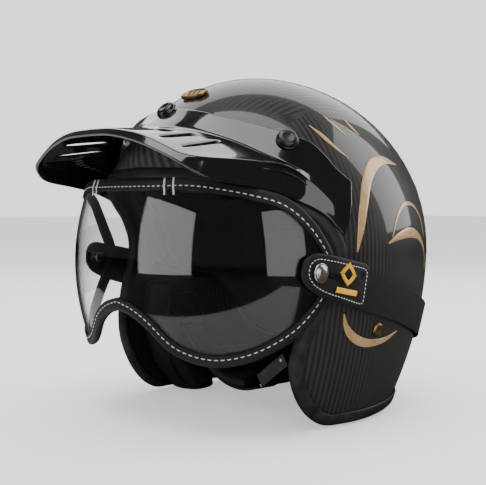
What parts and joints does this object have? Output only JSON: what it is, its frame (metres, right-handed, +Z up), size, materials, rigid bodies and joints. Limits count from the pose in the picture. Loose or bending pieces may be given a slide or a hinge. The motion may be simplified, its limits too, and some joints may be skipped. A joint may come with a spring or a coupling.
{
  "type": "open face motorcycle helmet",
  "caption": "Open face motorcycle helmet with a removable peak, a clear bubble goggle on an elastic strap, padded lining and a chin strap with a ratchet buckle.",
  "frame": {"origin": "on the ground plane under the middle of the helmet's box", "axes": "+Z up to the crown, -Y the way the wearer looks, +X the wearer's left"},
  "size_m": [0.2576, 0.2891, 0.243],
  "materials": {
    "shell_carbon": "clear-coated carbon fibre laminate",
    "gloss_black_plastic": "gloss",
    "edge_rubber": "satin",
    "eps_foam": "expanded polystyrene foam, painted black",
    "liner_fabric": "brushed knit",
    "black_leather": "fine grain, stitched",
    "clear_lens": "clear polycarbonate",
    "elastic_webbing": "woven elastic",
    "chin_webbing": "woven webbing",
    "nickel": "warm nickel",
    "steel": "brushed",
    "bronze": "antique bronze",
    "black_plastic": "moulded, fine texture"
  },
  "bodies": {
    "helmet": {"outer_shell": "shell_carbon", "eps_liner": "eps_foam", "comfort_liner": "liner_fabric", "cheek_pad_left": "black_leather", "cheek_pad_right": "black_leather", "neck_roll": "black_leather", "edge_trim": "edge_rubber", "forehead_badge": "bronze", "snap_stud_centre": "steel", "snap_stud_left": "steel", "snap_stud_right": "steel", "goggle_strap": "elastic_webbing", "strap_root_left": "chin_webbing", "strap_root_right": "chin_webbing", "anchor_rivet_left": "bronze", "anchor_rivet_right": "bronze"},
    "peak_unit": {"peak": "gloss_black_plastic", "snap_cap_centre": "gloss_black_plastic", "snap_cap_left": "gloss_black_plastic", "snap_cap_right": "gloss_black_plastic"},
    "goggle": {"goggle_lens": "clear_lens", "goggle_trim": "black_leather", "press_stud_left": "nickel", "press_stud_right": "nickel"},
    "tab_left": {"strap_tab_left": "black_leather"},
    "tab_right": {"strap_tab_right": "black_leather"},
    "slider": {"strap_slider": "black_plastic"},
    "chin_strap": {"chin_strap_left": "chin_webbing", "chin_strap_right": "chin_webbing", "chin_pad": "black_leather", "buckle_housing": "black_plastic", "lever_pin": "steel"},
    "tongue": {"ratchet_tongue": "steel"},
    "lever": {"release_lever": "steel"}
  },
  "joints": [
    {"name": "peak_unsnap", "type": "slide", "parent": "helmet", "child": "peak_unit", "axis": [0, -0.7071, 0.7071], "range_m": [0, 0.12]},
    {"name": "goggle_pull", "type": "slide", "parent": "helmet", "child": "goggle", "axis": [0, -1, 0], "range_m": [0, 0.025], "stiffness_N_per_m": 120, "deforming": ["goggle_strap"]},
    {"name": "tab_swivel_left", "type": "hinge", "parent": "goggle", "child": "tab_left", "pos_m": [0.1196, -0.0575, 0.108], "axis": [1, 0, 0], "range_deg": [-10, 10], "deforming": ["goggle_strap"]},
    {"name": "tab_swivel_right", "type": "hinge", "parent": "goggle", "child": "tab_right", "pos_m": [-0.1196, -0.0575, 0.108], "axis": [1, 0, 0], "range_deg": [-10, 10], "deforming": ["goggle_strap"]},
    {"name": "slider_adjust", "type": "slide", "parent": "helmet", "child": "slider", "axis": [0.6529, 0.7259, -0.2163], "range_m": [-0.008, 0.008]},
    {"name": "chin_strap_swing", "type": "hinge", "parent": "helmet", "child": "chin_strap", "pos_m": [0, -0.0025, 0.054], "axis": [1, 0, 0], "range_deg": [-75, 60]},
    {"name": "tongue_release", "type": "slide", "parent": "chin_strap", "child": "tongue", "axis": [-0.8133, 0, -0.5818], "range_m": [0, 0.012], "deforming": ["chin_strap_right"]},
    {"name": "lever_lift", "type": "hinge", "parent": "chin_strap", "child": "lever", "pos_m": [0.04761, -0.0025, 0.04017], "axis": [0, 1, 0], "range_deg": [0, 38], "stiffness_Nm_per_rad": 0.02}
  ]
}
